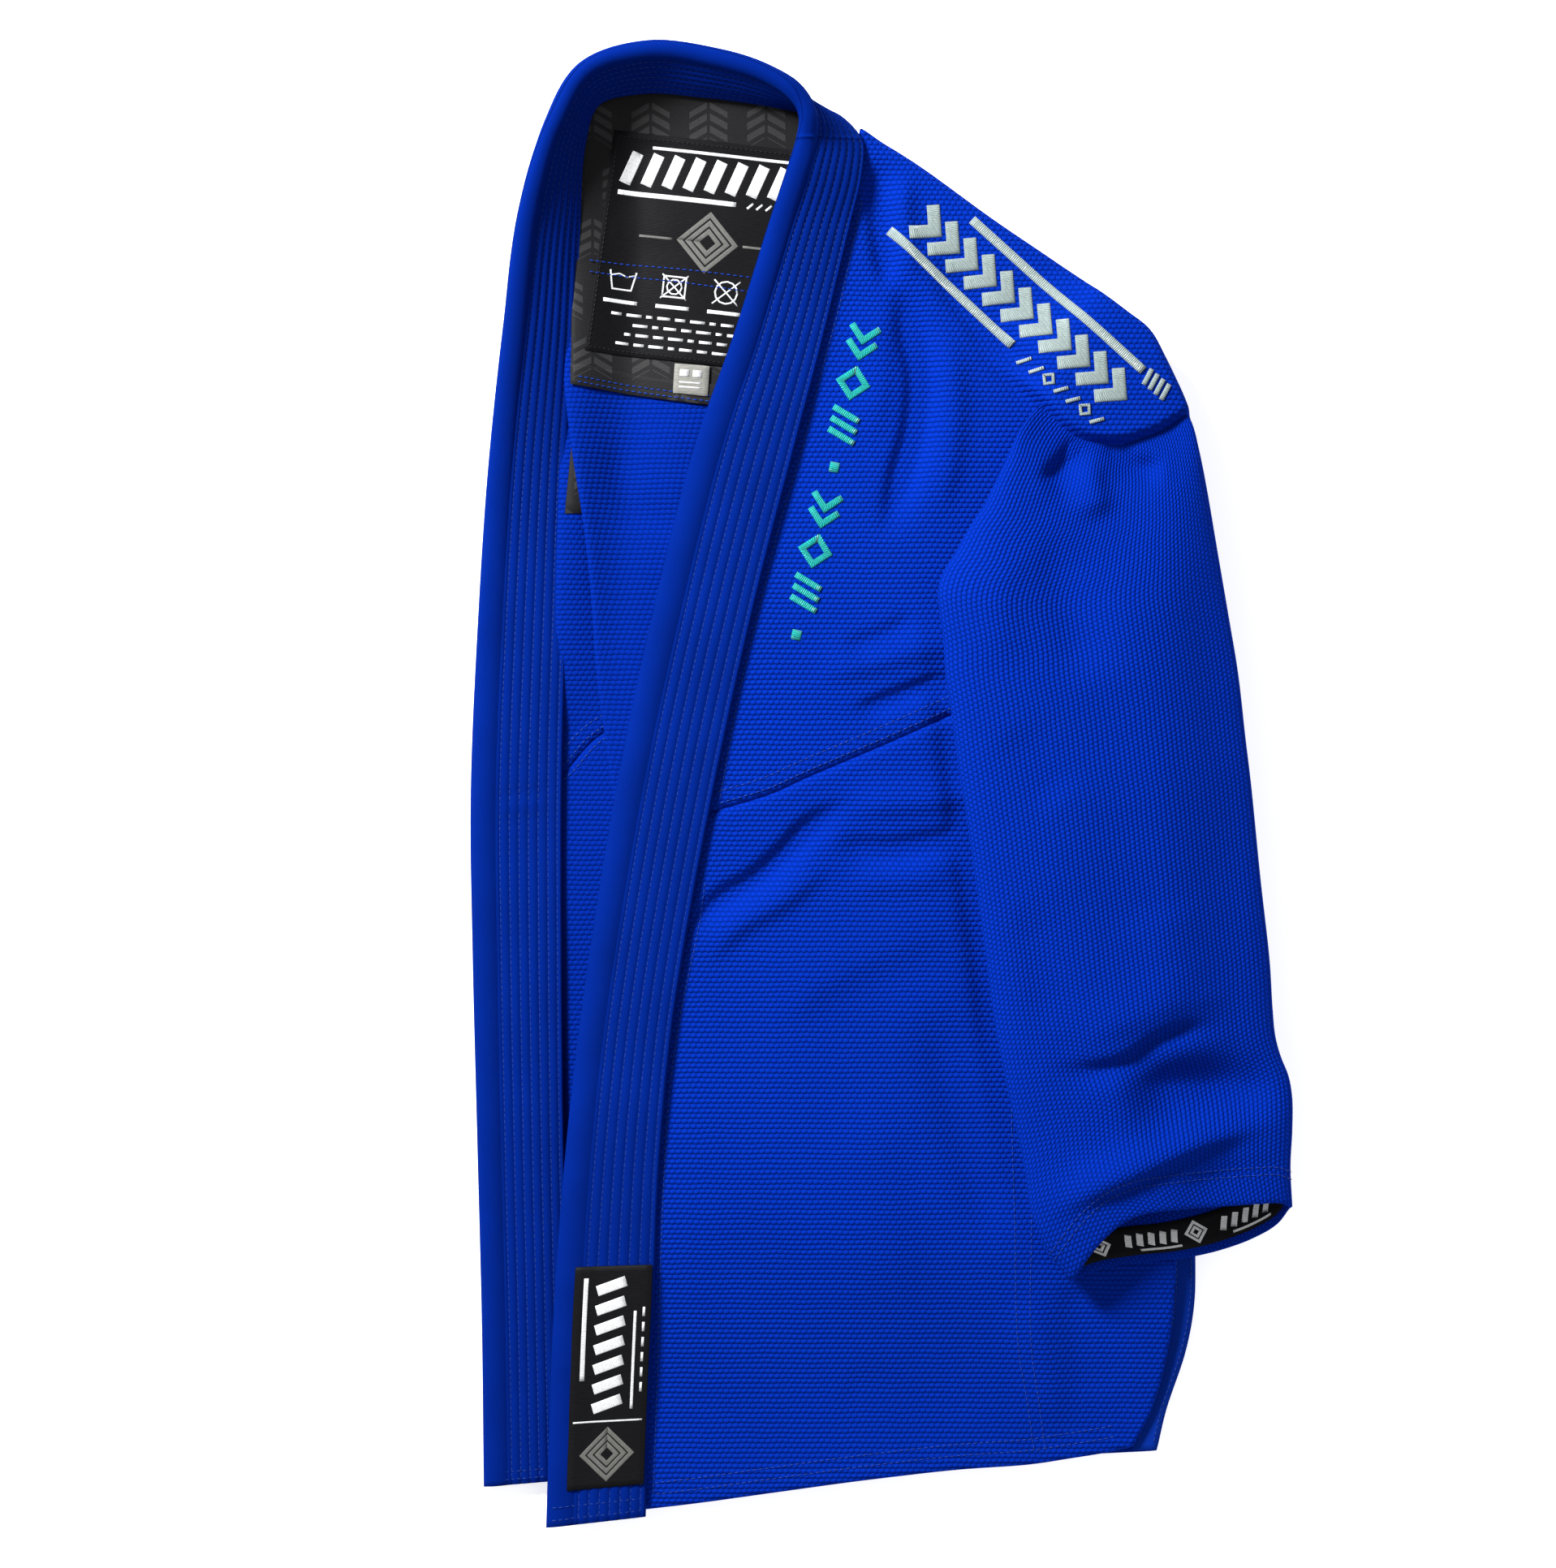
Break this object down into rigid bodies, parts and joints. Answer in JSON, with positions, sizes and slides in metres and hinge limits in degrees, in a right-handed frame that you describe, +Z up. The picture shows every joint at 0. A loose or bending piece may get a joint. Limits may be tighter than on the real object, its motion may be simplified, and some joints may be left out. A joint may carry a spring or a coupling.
{
  "type": "martial arts jacket",
  "caption": "Blue pearl-weave martial arts jacket folded in half and laid flat, with a quilted lapel, lined yoke and a sleeve folded down.",
  "frame": {"origin": "under the middle of the folded jacket, on the surface it lies on", "axes": "+Z up out of the surface, +Y from the hem to the collar, +X from the lapels to the sleeve"},
  "size_m": [0.4404, 0.7947, 0.053],
  "materials": {
    "weave": "pearl-weave cotton, royal blue",
    "lapel": "fine cotton twill, darker blue, quilted",
    "twill_tape": "cotton twill tape, blue",
    "ripstop": "black ripstop lining, tone on tone print",
    "woven_label": "black satin woven label",
    "size_label": "grey woven label",
    "black_tape": "black woven tape with white pattern",
    "silver_thread": "silver embroidery thread, sheen",
    "teal_thread": "teal embroidery thread, sheen",
    "foam": "EVA foam strip"
  },
  "bodies": {
    "body": {"right_gusset": "weave", "right_front_upper": "weave", "right_front_skirt": "weave", "right_yoke_lining": "ripstop", "right_back_vent_tape": "twill_tape", "back_panel": "weave", "yoke_lining": "ripstop", "neck_label": "woven_label", "size_label": "size_label", "left_back_vent_tape": "twill_tape", "left_side_tape": "twill_tape", "left_front_upper_side": "weave", "left_front_skirt_side": "weave", "left_gusset": "weave", "shoulder_embroidery": "silver_thread", "right_lapel_cover": "lapel", "right_lapel_core": "foam", "neck_collar_cover": "lapel", "neck_collar_core": "foam"},
    "left_front_flap": {"left_lapel_cover": "lapel", "left_lapel_core": "foam", "left_front_upper_flap": "weave", "left_front_skirt_flap": "weave", "chest_embroidery": "teal_thread", "lapel_label": "woven_label"},
    "left_sleeve_body": {"left_sleeve": "weave", "left_cuff_tape": "black_tape"},
    "right_sleeve_body": {"right_sleeve": "weave", "right_cuff_tape": "black_tape"}
  },
  "joints": [
    {"name": "left_front_open", "type": "hinge", "parent": "body", "child": "left_front_flap", "pos_m": [0.018, -0.0085, 0.0209], "axis": [-0.0751, 0.9972, 0], "range_deg": [0, 100]},
    {"name": "left_sleeve_swing", "type": "hinge", "parent": "body", "child": "left_sleeve_body", "pos_m": [0.122, 0.188, 0.034], "axis": [0, 0, 1], "range_deg": [0, 40]},
    {"name": "right_sleeve_swing", "type": "hinge", "parent": "body", "child": "right_sleeve_body", "pos_m": [0.1, 0.19, 0.0035], "axis": [0, 0, 1], "range_deg": [0, 30]}
  ]
}
